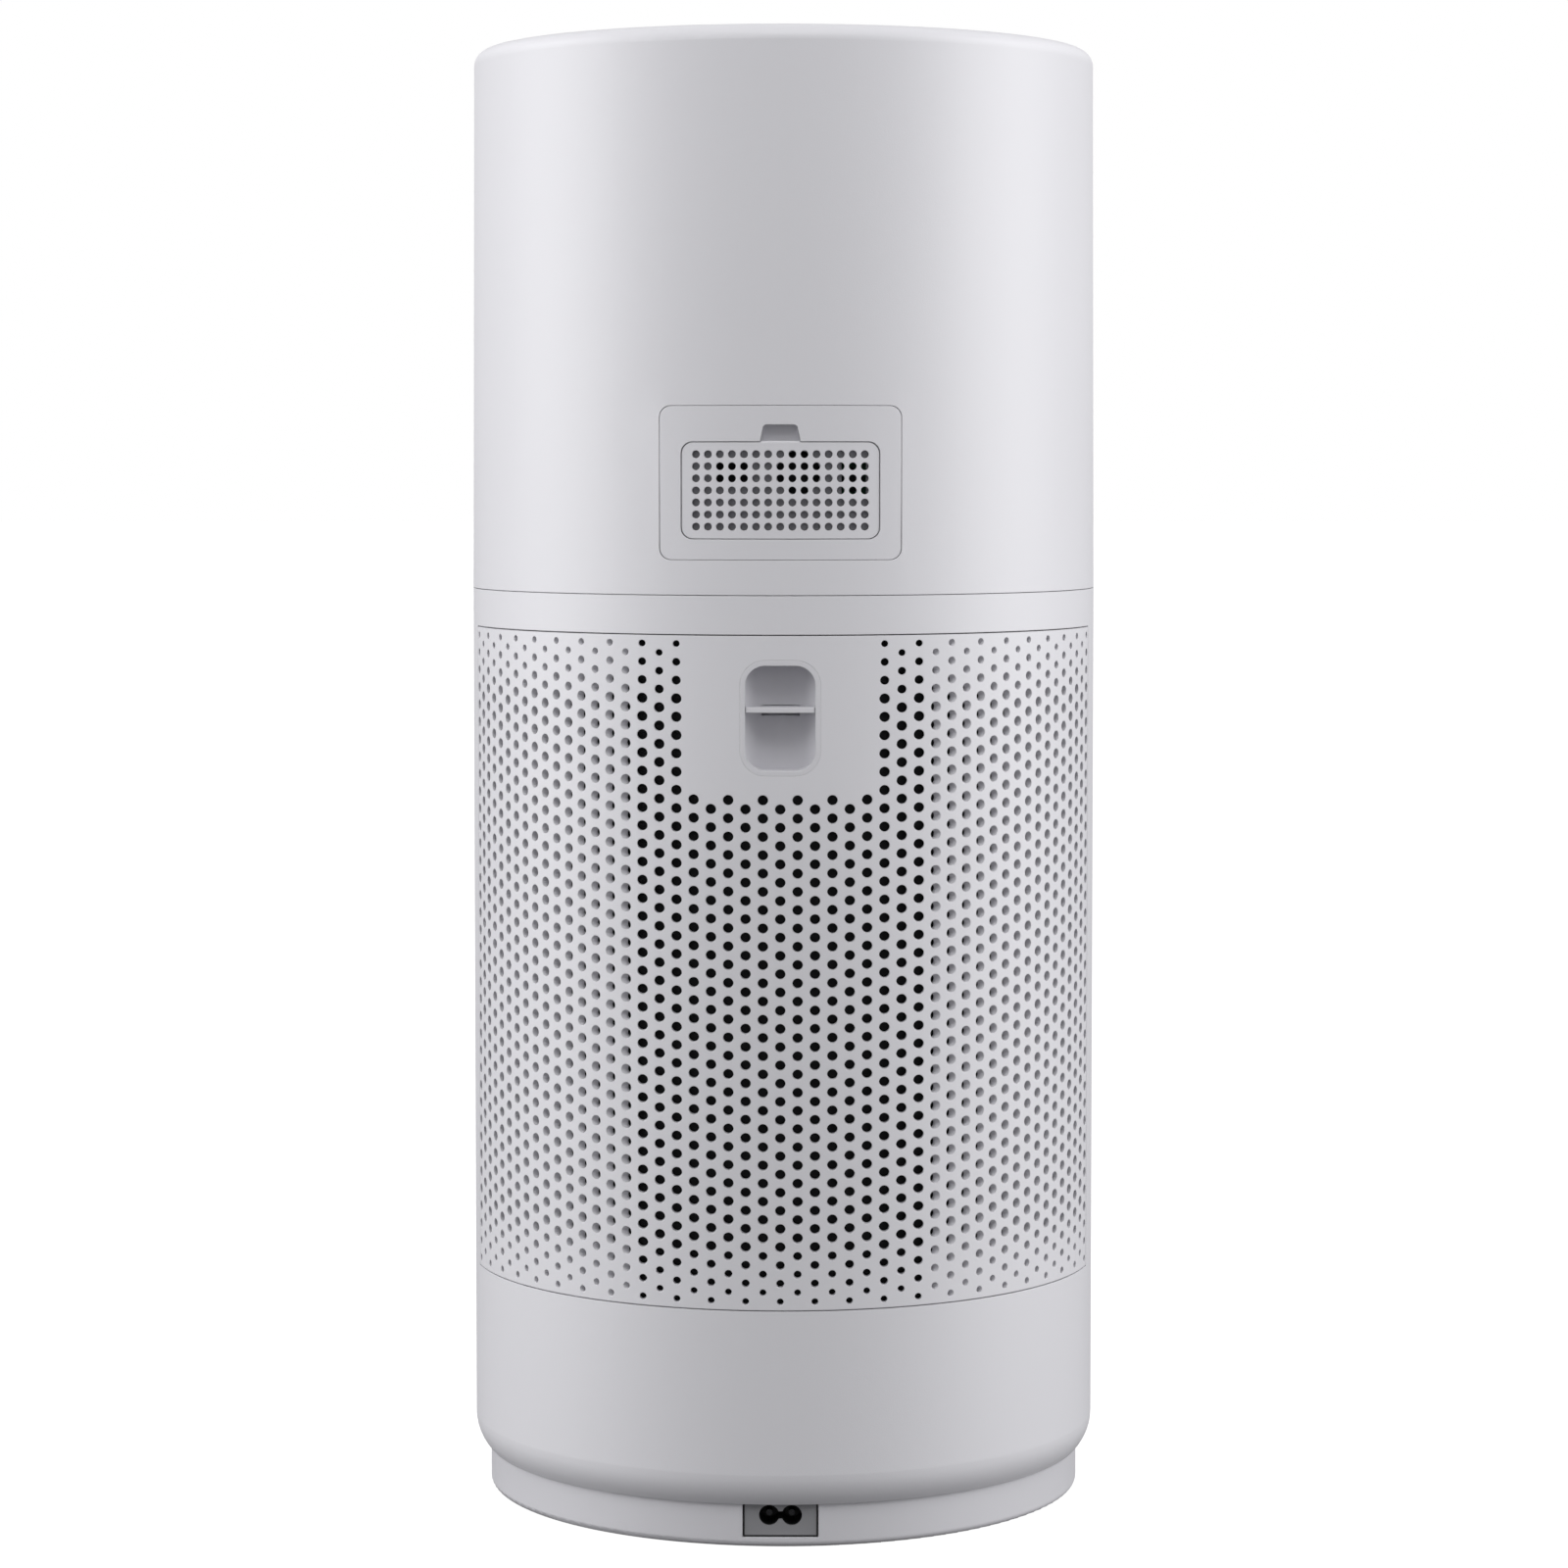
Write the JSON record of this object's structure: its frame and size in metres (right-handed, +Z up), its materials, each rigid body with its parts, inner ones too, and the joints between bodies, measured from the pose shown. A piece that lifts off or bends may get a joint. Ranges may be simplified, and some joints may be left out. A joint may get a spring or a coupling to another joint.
{
  "type": "air purifier",
  "caption": "Cylindrical tower air purifier with a perforated rear filter door, top air outlet, rear sensor cover and stepped base ring.",
  "frame": {"origin": "centre of the footprint, at the level it stands on", "axes": "+Z up, +Y to the rear: door, sensor cover and power inlet"},
  "size_m": [0.25, 0.25, 0.5778],
  "materials": {
    "shell": "fine satin light grey",
    "base": "satin light grey",
    "cup": "satin light grey",
    "sensor_plastic": "satin light grey",
    "inner_plastic": "matt mid grey",
    "black_plastic": "matt black",
    "inlet_plastic": "matt mid grey",
    "screen": "fine black mesh",
    "filter_frame": "matt dark grey",
    "filter_media": "folded white media",
    "net": "fine black net",
    "carbon": "granular black",
    "foam": "closed cell foam",
    "rubber": "matt black rubber",
    "steel": "bright steel",
    "spring_steel": "spring steel",
    "copper": "enamelled copper wire",
    "magnet": "bonded ferrite",
    "circuit": "green circuit board",
    "components": "moulded components",
    "fan_plastic": "satin mid grey",
    "panel": "gloss light grey",
    "window": "smoked black window",
    "key": "satin light grey"
  },
  "bodies": {
    "cabinet": {"base_tray": "base", "rubber_feet": "rubber", "housing_screws": "steel", "power_inlet": "inlet_plastic", "inlet_pins": "steel", "power_board": "circuit", "power_components": "components", "lower_housing": "shell", "filter_bay_floor": "inner_plastic", "fan_deck": "inner_plastic", "cable_duct": "inner_plastic", "latch_strike": "spring_steel", "door_switch": "black_plastic", "filter_bottom_cap": "filter_frame", "filter_top_cap": "filter_frame", "hepa_pleats": "filter_media", "filter_net": "net", "carbon_sleeve": "carbon", "filter_core": "filter_frame", "filter_seal": "foam", "filter_pull_tab": "filter_frame", "intake_guard": "fan_plastic", "fan_inlet_cone": "fan_plastic", "stator_core": "steel", "stator_coils": "copper", "bearings": "steel", "motor_bracket": "fan_plastic", "motor_board": "circuit", "fan_casing": "fan_plastic", "sensor_bezel": "sensor_plastic", "sensor_bracket": "inner_plastic", "sensor_board": "circuit", "dust_sensor": "black_plastic", "gas_sensor": "black_plastic", "top_shell": "shell", "top_chassis": "inner_plastic", "outlet_grille": "fan_plastic", "control_panel": "panel", "display_window": "window", "control_board": "circuit", "tact_switches": "black_plastic"},
    "door": {"filter_door": "shell", "finger_cup": "cup", "door_screen": "screen", "latch_guide": "inner_plastic", "latch_springs": "spring_steel"},
    "latch": {"latch_slider": "cup"},
    "rotor": {"impeller_wheel": "fan_plastic", "impeller_shroud": "fan_plastic", "motor_shaft": "steel", "impeller_nut": "black_plastic", "rotor_can": "steel", "rotor_magnets": "magnet"},
    "lid": {"sensor_lid": "sensor_plastic"},
    "power_button": {"power_key": "key"},
    "mode_button": {"mode_key": "key"},
    "speed_button": {"speed_key": "key"},
    "timer_button": {"timer_key": "key"}
  },
  "joints": [
    {"name": "fan_spin", "type": "hinge", "parent": "cabinet", "child": "rotor", "pos_m": [0, 0, 0.4], "axis": [0, 0, 1], "continuous": true},
    {"name": "door_pull", "type": "slide", "parent": "cabinet", "child": "door", "axis": [0, 1, 0], "range_m": [0, 0.12], "deforming": ["latch_strike"]},
    {"name": "latch_press", "type": "slide", "parent": "door", "child": "latch", "axis": [0, 0, -1], "range_m": [0, 0.0015], "stiffness_N_per_m": 300, "springref_m": -0.003, "deforming": ["latch_springs"]},
    {"name": "sensor_lid_pull", "type": "slide", "parent": "cabinet", "child": "lid", "axis": [0, 1, 0], "range_m": [0, 0.02]},
    {"name": "power_press", "type": "slide", "parent": "cabinet", "child": "power_button", "axis": [0, 0, -1], "range_m": [0, 0.001], "stiffness_N_per_m": 600, "springref_m": -0.001},
    {"name": "mode_press", "type": "slide", "parent": "cabinet", "child": "mode_button", "axis": [0, 0, -1], "range_m": [0, 0.001], "stiffness_N_per_m": 600, "springref_m": -0.001},
    {"name": "speed_press", "type": "slide", "parent": "cabinet", "child": "speed_button", "axis": [0, 0, -1], "range_m": [0, 0.001], "stiffness_N_per_m": 600, "springref_m": -0.001},
    {"name": "timer_press", "type": "slide", "parent": "cabinet", "child": "timer_button", "axis": [0, 0, -1], "range_m": [0, 0.001], "stiffness_N_per_m": 600, "springref_m": -0.001}
  ]
}
